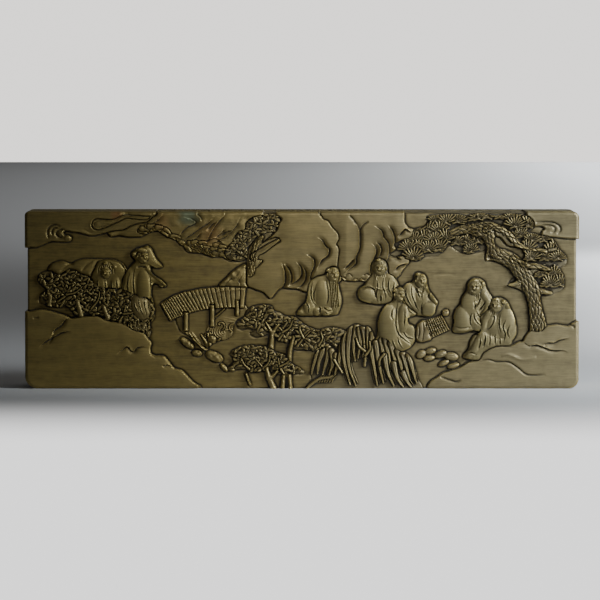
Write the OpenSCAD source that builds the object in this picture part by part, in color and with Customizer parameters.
// Display ink stick with a low-relief landscape: scholars under a pine, a plank bridge and cloud banks.
// The stick stands on its long lower side, relief towards -Y, origin under the middle of that side.
// The real stick is one pressed block; each node is the block itself or one carved region of its relief,
// and the regions lie face to face on the block and against each other.

/* [Stick] */
// Length of the stick, end to end
stick_length = 200; // [160:1:260]
// Height of the stick, lower side to upper side
stick_height = 64; // [50:1:84]
// Thickness of the stick over its highest relief
stick_thickness = 26; // [18:1:40]
// Corner radius, lower left
corner_low_left = 4.5; // [2:0.5:8]
// Corner radius, lower right
corner_low_right = 3.6; // [2:0.2:8]
// Corner radius, upper right
corner_high_right = 2.5; // [1:0.5:6]
// Corner radius, upper left
corner_high_left = 1.5; // [1:0.5:6]

/* [Relief] */
// Height of the highest carving, the scholars, above the carved ground
figure_rise = 2; // [1.4:0.1:3]
// Height of the rock and cliff layers above the carved ground
rock_rise = 1; // [0.5:0.1:1.2]
// Height of the cloud banks above the carved ground
cloud_rise = 0.8; // [0.4:0.1:1.2]
// Height of the foliage clumps above the carved ground
leaf_rise = 1.5; // [0.8:0.1:1.9]
// Height of trunks, posts and planks above the carved ground
wood_rise = 1.4; // [0.8:0.1:1.9]
// How far the raised layers stand out past the block at its two ends
end_step = 1; // [0.4:0.1:1.4]
// How far the raised layers stand up past the block on its upper side
top_step = 0.6; // [0.3:0.1:1]

/* [Back] */
// Height of the raised border and ornament on the back
back_rise = 0.8; // [0.4:0.1:1.2]
// Width of the raised border on the back
border_width = 3.2; // [2:0.2:6]
// Width of the blank name panel on the back
panel_width = 78; // [50:1:110]
// Height of the blank name panel on the back
panel_height = 24; // [16:1:34]

/* [Hidden] */

// The outlines below are drawn for a stick of this length and height, x from the middle, z from the bottom
drawn_length = 200;
drawn_height = 64;
// Straight steps that a smooth outline takes between two of its points
curve_steps = 3;
// Straight steps round one corner of the stick
corner_steps = 6;
beyond = 8;

ground_y = -stick_thickness / 2 + figure_rise;
back_y = stick_thickness / 2 - back_rise;
half = stick_length / 2;

gilt = "#8f7d4e";
gilt_dark = "#5d4f2c";
gilt_light = "#a89a72";
gilt_shade = "#776741";

cloud_bank_left_edge = [
    [-108, 51], [-98, 51], [-95.5, 51.1], [-93, 52.1], [-90.5, 53.1], [-88, 53], [-85.5, 52.9],
    [-83.5, 53.2], [-83, 54.4], [-83.8, 55.2], [-85.3, 55.3], [-86, 56.2], [-85.2, 57], [-83, 56.6],
    [-80, 56.2], [-77, 55.3], [-74.5, 55.3], [-71, 56.2], [-67, 57], [-64.5, 57.3], [-61.5, 58.8],
    [-58.5, 59.7], [-56, 60.1], [-54, 61.8], [-52, 63.4], [-50, 68], [-80, 72], [-108, 72]
];
cloud_wisp_edge = [
    [-75.7, 59], [-75.2, 60.6], [-73.6, 61.3], [-70.5, 61], [-68, 61.1], [-66, 62], [-64, 62.7],
    [-60, 62.5], [-56.5, 62.2], [-54.8, 62.1], [-56.2, 61], [-60, 61.2], [-63.3, 61.6], [-66, 60.4],
    [-68.5, 59.3], [-70.8, 58.2], [-73.4, 57.4], [-75, 57.7]
];
cloud_bank_right_edge = [
    [108, 54], [98.5, 54], [94, 54.3], [90, 54.7], [87.6, 54.8], [86.3, 55.6], [86.5, 57],
    [87.4, 57.8], [86.4, 58.5], [83, 58.6], [81.5, 60], [81, 62.5], [80, 68], [95, 72], [108, 70]
];
distant_mountains_edge = [
    [-70, 56], [-66, 55.3], [-62, 54.8], [-58, 54.9], [-55.5, 56.4], [-52, 57.1], [-49.5, 55.5],
    [-47.5, 54.5], [-45.5, 53.8], [-44.5, 52.5], [-42.5, 51.4], [-41.9, 50], [-40.3, 49.2],
    [-36.5, 49], [-34.5, 48.2], [-32, 47.6], [-29, 47.8], [-27.5, 46.8], [-25, 46], [-21, 46.4],
    [-18, 50], [-12, 55], [-5, 60], [-5, 72], [-45, 74], [-70, 70]
];
hill_tree_crown_edge = [
    [-24.5, 54.5], [-23, 56.6], [-20.6, 57.2], [-20.4, 59.5], [-19, 61.2], [-17, 62], [-14.5, 62.5],
    [-12, 63.3], [-9.5, 62.7], [-7.4, 61.4], [-8.4, 59.5], [-9, 57.5], [-11, 55.2], [-13, 53.6],
    [-16, 51.5], [-18.6, 49], [-20.8, 46.4], [-24, 46], [-27.2, 47], [-28.1, 49.5], [-27, 51.2],
    [-25.3, 52.6]
];
hill_tree_trunk_edge = [
    [-19.9, 42], [-20, 45], [-19.7, 48], [-19.3, 50.5], [-17.5, 53], [-15.6, 55.2], [-13.8, 55],
    [-14.4, 52.6], [-12.4, 53.7], [-9.2, 54.6], [-7.8, 53.3], [-9.5, 52.2], [-11.5, 50.8],
    [-13.6, 49.2], [-15.6, 48.3], [-16, 46.7], [-14.2, 46.2], [-15.2, 44.8], [-16.8, 43.4],
    [-17.4, 41.4], [-19, 40.4]
];
bank_stone_edge = [
    [-30, 37], [-27.5, 40], [-25.3, 42.3], [-22.5, 44.3], [-20.2, 44.9], [-19.6, 41], [-19.8, 36.6],
    [-24, 36.2]
];
great_rock_edge = [
    [-19.9, 44.8], [-20, 41], [-19.8, 37.3], [-17, 35.9], [-14, 34.8], [-12.5, 33.3], [-11.1, 32.6],
    [-9, 35.2], [-7.4, 36.3], [-4.5, 36.2], [-1.5, 35.9], [2, 34.8], [8, 36], [14, 39], [16, 50],
    [14, 72], [-8, 74], [-13, 60], [-19, 52]
];
cliff_rock_edge = [
    [12.8, 44], [13.4, 50], [12.4, 52.2], [13.3, 54], [12.9, 56.2], [11, 58.2], [9.4, 60.6],
    [7, 62.2], [4, 72], [34, 74], [37, 60], [40.6, 57.2], [39.6, 54], [38.2, 51.5], [38.6, 48],
    [38.6, 45.3], [36.5, 43], [34.8, 40.4], [30, 38], [25, 37.6], [21.5, 39.2], [17, 38.8],
    [14.2, 40.2]
];
round_hills_edge = [
    [-91.3, 42], [-91, 44.5], [-89, 45.7], [-86, 46], [-83.4, 45.2], [-81.5, 46.1], [-78.5, 46.9],
    [-74, 46.8], [-69, 46.9], [-65.6, 45.8], [-63.7, 43.8], [-62, 38], [-70, 36], [-85, 38]
];
left_thicket_edge = [
    [-94.8, 41], [-93, 42.4], [-90.5, 42.5], [-88.3, 41.1], [-86.5, 41.6], [-84, 43.1], [-81.6, 42.6],
    [-79.5, 41.2], [-76.3, 40.2], [-75, 37.8], [-71.5, 36.6], [-66, 36.3], [-62.5, 35.2], [-59, 33.4],
    [-56, 33.2], [-54, 31], [-53.2, 28.2], [-54, 25.5], [-55, 23.2], [-54.4, 20.6], [-57, 17],
    [-66, 20], [-71, 24], [-75, 23.5], [-80, 24], [-84, 29.2], [-88, 29.3], [-92, 30.1],
    [-94.8, 31.2], [-94.2, 33.8], [-92, 35.6], [-94.9, 38.2]
];
attendant_edge = [
    [-74.8, 43.4], [-73.6, 45.9], [-70, 46.7], [-66.2, 45.9], [-64.2, 43.6], [-63.9, 41.8],
    [-65, 39.6], [-65.3, 36.5], [-68, 34], [-74, 35], [-76.4, 38.5], [-76, 41]
];
walking_scholar_edge = [
    [-61.6, 48.2], [-60.6, 50], [-58, 50.9], [-56, 51.8], [-54.4, 50.8], [-53.5, 49], [-52.4, 46.8],
    [-50.2, 44.2], [-52, 43.4], [-54.2, 44.2], [-54.6, 42.5], [-53, 40.6], [-50.8, 39.2],
    [-48.9, 37.2], [-50.3, 36.6], [-52.6, 37.9], [-54, 37.6], [-54.4, 34.5], [-53.6, 31], [-53.2, 27],
    [-54.6, 24], [-60, 25], [-64.5, 30], [-65.2, 35.5], [-64.9, 38.8], [-63.4, 41.7], [-61.6, 44.6],
    [-60.2, 46.3]
];
left_rock_edge = [
    [-108, 27.4], [-98.5, 27.9], [-95, 28.6], [-92, 28.4], [-88, 27.3], [-84.8, 26.3], [-83.2, 25.4],
    [-80, 26], [-74.5, 26.3], [-71.5, 25.2], [-69.5, 24.4], [-66, 24], [-63, 22.8], [-61, 21.4],
    [-57.2, 20.2], [-55.6, 18.2], [-54.2, 16.4], [-54.7, 14.4], [-54, 12.3], [-50.2, 12],
    [-48.5, 10.5], [-47.2, 8.8], [-46, 7.4], [-43.5, 6.8], [-42, 5.4], [-40.5, 3.8], [-38.4, 1.8],
    [-36, 0], [-34, -8], [-70, -10], [-108, -8]
];
bridge_deck_edge = [
    [-51.2, 30.8], [-49, 32.2], [-46.3, 33.7], [-43, 34.9], [-38, 35.9], [-33, 36.6], [-27, 36.9],
    [-20.2, 36.5]
];
bridge_deck_low_edge = [
    [-21, 29], [-26, 29.2], [-31, 29], [-35, 28.6], [-38.5, 27.9], [-42, 26.8], [-44.8, 25.8],
    [-47.6, 24.3]
];
stream_water_edge = [
    [-45.2, 26], [-44.6, 22.2], [-43.4, 20.4], [-41, 19.2], [-37.5, 16.2], [-34.6, 13.6],
    [-33.4, 15.4], [-30.6, 17.2], [-27.6, 17.6], [-25.2, 19.4], [-24.9, 22.2], [-23.4, 25],
    [-20.6, 26.6], [-20.4, 30], [-30, 31], [-40, 30]
];
grove_crown_edge = [
    [-23.2, 22.5], [-23.3, 24.2], [-21, 25.5], [-20.5, 27.6], [-18.5, 29.3], [-15.5, 30.2],
    [-11.2, 30], [-10.2, 28.2], [-8, 27.5], [-6, 26.3], [-2.5, 25.9], [-0.8, 24.5], [0.8, 23.2],
    [3, 22.1], [5.5, 21.2], [8, 21.6], [10, 22.1], [14.6, 21.5], [16.5, 19.5], [16, 15.5], [12, 14],
    [7, 14.6], [4.8, 13.7], [0, 13.9], [-2.8, 14.2], [-5.6, 16.8], [-8.4, 17.4], [-10.2, 19.2],
    [-13.5, 19.2], [-17, 18.7], [-18.8, 20], [-17.2, 21.3], [-20, 21.6], [-22.4, 21.4]
];
shrub_crown_edge = [
    [-26.4, 12.6], [-24.3, 14.1], [-21, 15.4], [-17, 15.6], [-12.6, 15], [-9.4, 13.2], [-6, 12],
    [-4.4, 9.6], [-2, 8], [0, 6.8], [1.1, 5.6], [-3, 5.2], [-6, 5.4], [-9, 5], [-13, 6.4],
    [-15.5, 6.2], [-18, 5.8], [-20.2, 6.8], [-22, 7], [-26, 6.4], [-27.4, 7.2], [-25.6, 8.6],
    [-24.6, 10.4]
];
long_leaf_clump_edge = [
    [1.2, -6], [1.8, 0.6], [3.6, 3], [3.3, 5.6], [4.2, 10], [5.4, 13.4], [7.4, 14.2], [9, 15.4],
    [11.2, 15.2], [12.6, 14], [14, 16.8], [15.8, 20.6], [18, 22.6], [20, 23.2], [22.2, 22.2],
    [24, 22.4], [25.6, 20], [26.6, 17.4], [29, 18.6], [31.4, 17.4], [33, 15], [35, 13.6],
    [38, 12.6], [39.6, 10.6], [41, 7], [42, 3.4], [44, -0.6], [45, -8], [20, -10]
];
scholar_by_cliff_edge = [
    [8.2, 41.4], [9, 43.1], [11, 44.1], [13, 43.6], [13.6, 41.8], [13.2, 40], [13, 38], [13.8, 35],
    [14.4, 31.5], [13.5, 28.2], [12.2, 26.5], [6, 26.4], [2, 26.2], [-1.9, 26.6], [-1.2, 28.5],
    [0, 30], [1.3, 31], [2, 33.5], [2.3, 36], [3, 38.8], [5.2, 40.6]
];
scholar_with_knee_up_edge = [
    [25.1, 41.5], [25, 44.4], [26.8, 46.8], [29.5, 46.7], [31, 44.5], [31.2, 41.6], [33.2, 40.4],
    [34.6, 38.4], [35, 36], [34, 33.2], [32, 31.2], [29, 30.4], [26.5, 30.4], [23.5, 31.2],
    [21, 32.2], [20, 34.2], [20.6, 36.2], [22.3, 37.4], [23.4, 39.2]
];
scholar_facing_cup_edge = [
    [36.2, 36], [37.5, 37.8], [39.6, 38.6], [40.4, 39.6], [40.6, 41.3], [42.2, 42], [44.3, 41],
    [45.1, 39], [45.3, 37], [46.2, 35], [47.8, 33], [49, 31], [48.4, 29.4], [47.9, 27.4], [46, 26],
    [43, 26.2], [40, 27], [38, 29], [36.4, 31], [35.6, 33.6]
];
scholar_from_behind_edge = [
    [32.8, 32.6], [32.6, 35.1], [34, 36.8], [36.1, 36.6], [37.1, 34.6], [36.5, 32.2], [38, 30],
    [40, 28.3], [41.4, 27], [40, 26], [38.2, 25.6], [38.4, 23.6], [40.2, 22.8], [41.2, 20],
    [40.8, 17.2], [39.2, 15], [36, 13.6], [32, 13], [27, 13], [25.6, 15.5], [27, 19], [27.3, 23.5],
    [28.4, 27.4], [30.4, 30.4], [32.2, 31.5]
];
game_board_corners = [[44.2, 24.6], [50.4, 26.5], [53.3, 21.2], [46.6, 18.2]];
rolled_mat_edge = [
    [41.6, 23.3], [44.2, 24.8], [45.4, 21.4], [46.8, 18], [44.6, 16.9], [42.2, 16.8], [40.9, 18.6]
];
cup_middle = [51.8, 27.5];
cup_radius = 1.3;
scholar_listening_edge = [
    [59.8, 38.2], [61.4, 40], [64, 39.9], [66, 38.5], [66.6, 36.4], [67.6, 34.6], [68.8, 32.6],
    [67.4, 30], [66.8, 27], [67.8, 24], [65.4, 21], [62, 20.9], [58, 20], [55, 20.2], [54.2, 21.4],
    [54.8, 23.4], [54.8, 27], [55.5, 29], [57.3, 30.6], [57.4, 32.6], [58.6, 34.4], [59.5, 36]
];
scholar_on_rock_edge = [
    [67.6, 30.5], [68.6, 32.2], [71.4, 33], [74, 31.6], [74.9, 29.6], [76.2, 27], [77.4, 23],
    [77.4, 19.5], [76, 17.2], [75, 15.4], [70, 15.2], [65.6, 13], [63.6, 10.2], [58.6, 10.9],
    [58.2, 12.2], [60, 14.2], [60.6, 17], [62, 19.3], [64.4, 20.4], [64.6, 23], [64, 25.6],
    [65.4, 27.4], [66.6, 28.4]
];
right_rock_edge = [
    [44.8, -8], [44.8, -0.5], [46.2, 2.5], [48.5, 4.1], [50.5, 5.6], [53, 6.4], [57, 7.7],
    [60, 9.6], [63.5, 10.2], [64.4, 12], [66, 13.3], [70, 15.5], [75.5, 15.7], [78, 17],
    [79.7, 17.2], [80.5, 18.9], [82.5, 21], [86.4, 21], [88.2, 22.6], [92, 23.3], [96, 22.7],
    [98.4, 24.2], [108, 24.6], [108, -8]
];
pine_trunk_edge = [
    [82.4, 20], [82.3, 24], [82, 28], [81.4, 31.5], [80.3, 34.6], [77.4, 36.2], [74.2, 37.5],
    [76.4, 38.4], [77.3, 39.4], [76, 41.4], [74.8, 43.2], [71, 45.4], [68.6, 46.3], [66.5, 46.2],
    [66.2, 48], [66.6, 50.2], [66.2, 52.4], [64.5, 54], [61.8, 54.8], [60.4, 56.2], [57, 55.2],
    [53.8, 55.6], [53.6, 57.4], [56.5, 58.8], [60, 59.6], [63.4, 60], [67, 60.4], [70, 59.6],
    [73, 58], [76.2, 55.8], [78.8, 53], [82, 51], [87, 50.6], [91.5, 51], [92, 50],
    [88, 49], [83.2, 49.6], [78.6, 51], [75, 51.4], [73.6, 52.2], [71.6, 54.6], [69.4, 54.8],
    [69.4, 52.4], [71.2, 50.6], [74.2, 50], [77, 48.6], [79.6, 46.2], [82.4, 45.4], [86, 45],
    [90.4, 43.2], [90, 42.2], [86, 42.6], [83.6, 41.4], [84.8, 38.6], [86.4, 36.4], [90, 35],
    [89.6, 34], [86.2, 34], [86.2, 31], [87, 27.6], [87.8, 24.2], [88.4, 20]
];
pine_needles_left_edge = [
    [31.6, 48.5], [33.8, 50.4], [33.3, 52.1], [36, 53.6], [39.4, 54.8], [40.4, 57.6], [44, 58.4],
    [45.6, 60.4], [44.9, 62.2], [49, 62.9], [54, 63.2], [58, 62.8], [60, 61], [58, 59], [55, 57.4],
    [55.6, 55], [54.4, 53.4], [52.6, 51.8], [50.6, 49.3], [48.4, 47.9], [44, 47.6], [42, 46.2],
    [38, 46.9], [36.2, 47.9], [33.8, 47.6]
];
pine_needles_top_edge = [
    [58.6, 61.6], [61, 63], [65, 63.6], [70, 62.6], [74, 63.4], [78, 63.2], [81.5, 62.2], [83.5, 60],
    [83, 57.6], [80.5, 55.6], [77.5, 54.4], [72, 57], [66, 58.6], [60, 58.6]
];
pine_needles_right_edge = [
    [79, 54], [82, 56.2], [86, 55.4], [89.6, 54.6], [91.4, 52.8], [93, 50.2], [95.2, 48], [95.4, 45],
    [93, 43.4], [94.4, 41], [94.6, 37.4], [93.6, 35.4], [89.5, 34], [86.4, 33.6], [82, 33.4],
    [78, 36.4], [75.5, 37], [75.2, 39.4], [80, 41.4], [78, 44.6], [80.4, 47.6], [79.6, 50.4]
];
pine_needles_low_edge = [
    [53.4, 53.4], [55.6, 55.4], [59.4, 56.2], [63, 55.2], [66, 52.4], [66, 50], [63, 49.2],
    [59.6, 48.9], [56.4, 49.6], [54.2, 51.4]
];

// Each stone: middle, length, height and tilt
stream_stone_list = [
    [[-41.5, 16.4], 6.2, 2.6, -38], [[-37.9, 12.8], 3.8, 2.4, -8], [[-31.7, 11.6], 7, 3.6, -24],
    [[-32.4, 17.8], 3.4, 3, -30], [[-28.2, 7.6], 3.8, 1.8, -48]
];
foreground_stone_list = [
    [[43, 12.4], 3.8, 2.8, 30], [[46.4, 13.6], 4.2, 2.2, 12], [[46, 11], 4.2, 2, 6],
    [[50.1, 12.4], 4.4, 2.6, 20], [[54, 11.6], 5, 3, -8], [[51.2, 9.2], 4.4, 2, 24],
    [[54.6, 8.3], 4.6, 2, 14]
];

// Each trunk or post: foot and head as x, z, half width
grove_trunk_list = [
    [[-11.2, 14.2, 1], [-10.7, 20.4, 0.9]], [[-10.7, 20.2, 0.9], [-8.2, 23.6, 0.6]],
    [[-10.8, 20.2, 0.8], [-13.4, 24.6, 0.5]], [[-4.6, 9.8, 0.8], [-4.4, 13.8, 0.9]],
    [[-4.4, 13.6, 0.9], [-2.9, 19.2, 0.7]]
];
shrub_trunk_list = [
    [[-8.6, -4, 1.4], [-11.6, 3.2, 1]], [[-11.8, 3, 1], [-12.9, 8, 0.7]], [[-12, 3.2, 0.9], [-8.6, 6.6, 0.6]],
    [[-7.4, -4, 1], [-6.6, 5, 0.7]], [[-3.8, -4, 0.9], [-4.6, 5.4, 0.7]], [[-20.4, 5.8, 0.5], [-18.6, 1, 0.4]]
];
bridge_post_list = [
    [[-41.9, 20.6, 0.9], [-41.9, 27.8, 0.9]], [[-32.4, 22.2, 0.9], [-32.4, 30.4, 0.9]],
    [[-23.4, 26.2, 0.8], [-23.4, 32, 0.8]], [[-31.4, 25.8, 0.4], [-27.8, 29, 0.4]]
];

function scaled(p) = [p[0] * stick_length / drawn_length, p[1] * stick_height / drawn_height];

// Catmull-Rom curve through p1 and p2
function curve_point(p0, p1, p2, p3, t) =
    0.5 * (2 * p1 + (p2 - p0) * t + (2 * p0 - 5 * p1 + 4 * p2 - p3) * t * t
        + (3 * p1 - p0 - 3 * p2 + p3) * t * t * t);

function smooth_loop(p, steps = curve_steps) = let (n = len(p)) [
    for (i = [0 : n - 1]) for (k = [0 : steps - 1])
        scaled(curve_point(p[(i + n - 1) % n], p[i], p[(i + 1) % n], p[(i + 2) % n], k / steps))
];

function arc(x, z, r, start) = [
    for (k = [0 : corner_steps]) [
        x + r * cos(start + 90 * k / corner_steps), z + r * sin(start + 90 * k / corner_steps)]
];

// Rounded outline of the stick, drawn in by its own amounts at the ends, the top and the bottom
function stick_outline(ends, top, bottom) = concat(
    arc(half - ends - corner_high_right, stick_height - top - corner_high_right, corner_high_right, 0),
    arc(-half + ends + corner_high_left, stick_height - top - corner_high_left, corner_high_left, 90),
    arc(-half + ends + corner_low_left, bottom + corner_low_left, corner_low_left, 180),
    arc(half - ends - corner_low_right, bottom + corner_low_right, corner_low_right, 270)
);

module whole_outline() { polygon(stick_outline(0, 0, 0)); }
module block_outline() { polygon(stick_outline(end_step, top_step, 0)); }
module loop(points) { polygon(smooth_loop(points)); }

// A carved region standing forward of the carved ground
module relief(rise) {
    translate([0, ground_y, 0]) rotate([90, 0, 0]) linear_extrude(height = rise) children();
}

// A raised layer that also wraps the end or the upper side of the block
module wrapped_relief(rise) {
    union() {
        relief(rise) intersection() { whole_outline(); children(); }
        translate([0, back_y, 0]) rotate([90, 0, 0]) linear_extrude(height = back_y - ground_y)
            intersection() {
                difference() { whole_outline(); block_outline(); }
                children();
            }
    }
}

module back_relief() {
    translate([0, back_y + back_rise, 0]) rotate([90, 0, 0]) linear_extrude(height = back_rise) children();
}

module stone_outline(stone) {
    translate(scaled(stone[0])) rotate(stone[3])
        scale([stone[1] / 2, stone[2] / 2]) circle(r = 1, $fn = 24);
}
module stem_outline(stem) {
    foot = scaled(stem[0]);
    head = scaled(stem[1]);
    across = [foot[1] - head[1], head[0] - foot[0]] / norm(head - foot);
    polygon([foot + across * stem[0][2], foot - across * stem[0][2],
        head - across * stem[1][2], head + across * stem[1][2]]);
}
module stem_outlines(stems) { for (stem = stems) stem_outline(stem); }
module stone_outlines(stones) { for (stone = stones) stone_outline(stone); }
module deck_outline() {
    upper = [for (i = [0 : len(bridge_deck_edge) - 1]) scaled(bridge_deck_edge[i])];
    lower = [for (i = [0 : len(bridge_deck_low_edge) - 1]) scaled(bridge_deck_low_edge[i])];
    polygon(concat(upper, lower));
}
module board_outline() { polygon([for (corner = game_board_corners) scaled(corner)]); }
module cup_outline() { translate(scaled(cup_middle)) circle(r = cup_radius, $fn = 24); }
module pine_outline() { loop(pine_trunk_edge); }

module ink_body() {
    color(gilt_shade) translate([0, back_y, 0]) rotate([90, 0, 0])
        linear_extrude(height = back_y - ground_y) block_outline();
}
module cloud_bank_left() {
    color(gilt_dark) wrapped_relief(cloud_rise) difference() {
        loop(cloud_bank_left_edge);
        loop(cloud_wisp_edge);
    }
}
module cloud_wisp() { color(gilt) relief(cloud_rise + 0.3) loop(cloud_wisp_edge); }
module cloud_bank_right() {
    color(gilt_light) wrapped_relief(cloud_rise) difference() {
        loop(cloud_bank_right_edge);
        loop(pine_needles_top_edge);
        loop(pine_needles_right_edge);
    }
}
module distant_mountains() {
    color(gilt_shade) wrapped_relief(rock_rise) difference() {
        loop(distant_mountains_edge);
        loop(cloud_bank_left_edge);
        loop(hill_tree_crown_edge);
        loop(hill_tree_trunk_edge);
        loop(great_rock_edge);
    }
}
module hill_tree_crown() {
    color(gilt) relief(leaf_rise) difference() {
        loop(hill_tree_crown_edge);
        loop(hill_tree_trunk_edge);
    }
}
module hill_tree_trunk() { color(gilt_light) relief(wood_rise) loop(hill_tree_trunk_edge); }
module bank_stone() {
    color(gilt) relief(rock_rise) difference() {
        loop(bank_stone_edge);
        deck_outline();
        loop(hill_tree_trunk_edge);
        loop(great_rock_edge);
    }
}
module great_rock() {
    color(gilt_shade) wrapped_relief(rock_rise) difference() {
        loop(great_rock_edge);
        loop(hill_tree_crown_edge);
        loop(hill_tree_trunk_edge);
        loop(cliff_rock_edge);
        loop(scholar_by_cliff_edge);
    }
}
module cliff_rock() {
    color(gilt) wrapped_relief(rock_rise) difference() {
        loop(cliff_rock_edge);
        loop(scholar_by_cliff_edge);
        loop(scholar_with_knee_up_edge);
        loop(pine_needles_left_edge);
    }
}
module round_hills() {
    color(gilt_shade) relief(rock_rise) difference() {
        loop(round_hills_edge);
        loop(left_thicket_edge);
        loop(attendant_edge);
        loop(walking_scholar_edge);
    }
}
module left_thicket() {
    color(gilt_light) relief(leaf_rise) difference() {
        loop(left_thicket_edge);
        loop(left_rock_edge);
    }
}
module attendant() {
    color(gilt) relief(figure_rise - 0.4) difference() {
        loop(attendant_edge);
        loop(left_thicket_edge);
        loop(walking_scholar_edge);
    }
}
module walking_scholar() {
    color(gilt_light) relief(figure_rise) difference() {
        loop(walking_scholar_edge);
        loop(left_thicket_edge);
    }
}
module left_rock() { color(gilt_dark) wrapped_relief(rock_rise) loop(left_rock_edge); }
module bridge_deck() {
    color(gilt_light) relief(wood_rise - 0.2) difference() {
        deck_outline();
        stem_outlines(bridge_post_list);
    }
}
module bridge_posts() { color(gilt) relief(wood_rise) stem_outlines(bridge_post_list); }
module stream_water() {
    color(gilt_shade) relief(cloud_rise / 2) difference() {
        loop(stream_water_edge);
        deck_outline();
        stem_outlines(bridge_post_list);
        stone_outlines(stream_stone_list);
        loop(grove_crown_edge);
    }
}
module stream_stones() { color(gilt) relief(rock_rise) stone_outlines(stream_stone_list); }
module grove_crown() {
    color(gilt) relief(leaf_rise) difference() {
        loop(grove_crown_edge);
        stem_outlines(grove_trunk_list);
        loop(long_leaf_clump_edge);
    }
}
module grove_trunks() {
    color(gilt_light) relief(wood_rise + 0.3) difference() {
        stem_outlines(grove_trunk_list);
        loop(shrub_crown_edge);
    }
}
module shrub_crown() {
    color(gilt) relief(leaf_rise) difference() {
        loop(shrub_crown_edge);
        stem_outlines(shrub_trunk_list);
    }
}
module shrub_trunks() {
    color(gilt_light) relief(wood_rise + 0.3) intersection() {
        whole_outline();
        stem_outlines(shrub_trunk_list);
    }
}
module long_leaf_clump() {
    color(gilt_light) relief(leaf_rise + 0.2) intersection() {
        whole_outline();
        loop(long_leaf_clump_edge);
    }
}
module scholar_by_cliff() { color(gilt_light) relief(figure_rise) loop(scholar_by_cliff_edge); }
module scholar_with_knee_up() {
    color(gilt_light) relief(figure_rise) difference() {
        loop(scholar_with_knee_up_edge);
        loop(scholar_from_behind_edge);
    }
}
module scholar_facing_cup() {
    color(gilt_light) relief(figure_rise - 0.2) difference() {
        loop(scholar_facing_cup_edge);
        loop(scholar_from_behind_edge);
        loop(scholar_with_knee_up_edge);
    }
}
module scholar_from_behind() {
    color(gilt_light) relief(figure_rise) difference() {
        loop(scholar_from_behind_edge);
        loop(long_leaf_clump_edge);
        loop(rolled_mat_edge);
    }
}
module game_board() {
    color(gilt) relief(wood_rise - 0.2) difference() {
        board_outline();
        loop(rolled_mat_edge);
    }
}
module rolled_mat() { color(gilt_shade) relief(wood_rise) loop(rolled_mat_edge); }
module cup() { color(gilt_light) relief(wood_rise) cup_outline(); }
module scholar_listening() {
    color(gilt_light) relief(figure_rise - 0.1) difference() {
        loop(scholar_listening_edge);
        loop(scholar_on_rock_edge);
    }
}
module scholar_on_rock() { color(gilt_light) relief(figure_rise) loop(scholar_on_rock_edge); }
module foreground_stones() {
    color(gilt) relief(rock_rise) difference() {
        stone_outlines(foreground_stone_list);
        loop(right_rock_edge);
    }
}
module right_rock() {
    color(gilt_light) wrapped_relief(rock_rise) difference() {
        loop(right_rock_edge);
        loop(scholar_on_rock_edge);
        loop(long_leaf_clump_edge);
    }
}
module pine_trunk() {
    color(gilt_light) relief(wood_rise + 0.2) difference() {
        pine_outline();
        loop(right_rock_edge);
    }
}
module pine_needles_left() {
    color(gilt) relief(leaf_rise - 0.3) difference() {
        loop(pine_needles_left_edge);
        pine_outline();
    }
}
module pine_needles_top() {
    color(gilt) relief(leaf_rise - 0.3) difference() {
        loop(pine_needles_top_edge);
        loop(pine_needles_left_edge);
        pine_outline();
    }
}
module pine_needles_right() {
    color(gilt) relief(leaf_rise - 0.3) difference() {
        loop(pine_needles_right_edge);
        loop(pine_needles_top_edge);
        pine_outline();
    }
}
module pine_needles_low() {
    color(gilt) relief(leaf_rise - 0.4) difference() {
        loop(pine_needles_low_edge);
        loop(pine_needles_left_edge);
        pine_outline();
    }
}
module back_border() {
    color(gilt_shade) back_relief() difference() {
        whole_outline();
        polygon(stick_outline(border_width, border_width, border_width));
    }
}
module back_panel() {
    color(gilt) back_relief() translate([-panel_width / 2, (stick_height - panel_height) / 2])
        square([panel_width, panel_height]);
}
module back_clouds() {
    color(gilt_light) back_relief() for (side = [-1, 1]) for (row = [0 : 2])
        translate([side * (panel_width / 2 + 22 - 5 * (row % 2)), stick_height * (0.28 + 0.22 * row)])
            scale([side * 9, 3]) circle(r = 1, $fn = 32);
}

ink_body();
cloud_bank_left();
cloud_wisp();
cloud_bank_right();
distant_mountains();
hill_tree_crown();
hill_tree_trunk();
bank_stone();
great_rock();
cliff_rock();
round_hills();
left_thicket();
attendant();
walking_scholar();
left_rock();
bridge_deck();
bridge_posts();
stream_water();
stream_stones();
grove_crown();
grove_trunks();
shrub_crown();
shrub_trunks();
long_leaf_clump();
scholar_by_cliff();
scholar_with_knee_up();
scholar_facing_cup();
scholar_from_behind();
game_board();
rolled_mat();
cup();
scholar_listening();
scholar_on_rock();
foreground_stones();
right_rock();
pine_trunk();
pine_needles_left();
pine_needles_top();
pine_needles_right();
pine_needles_low();
back_border();
back_panel();
back_clouds();
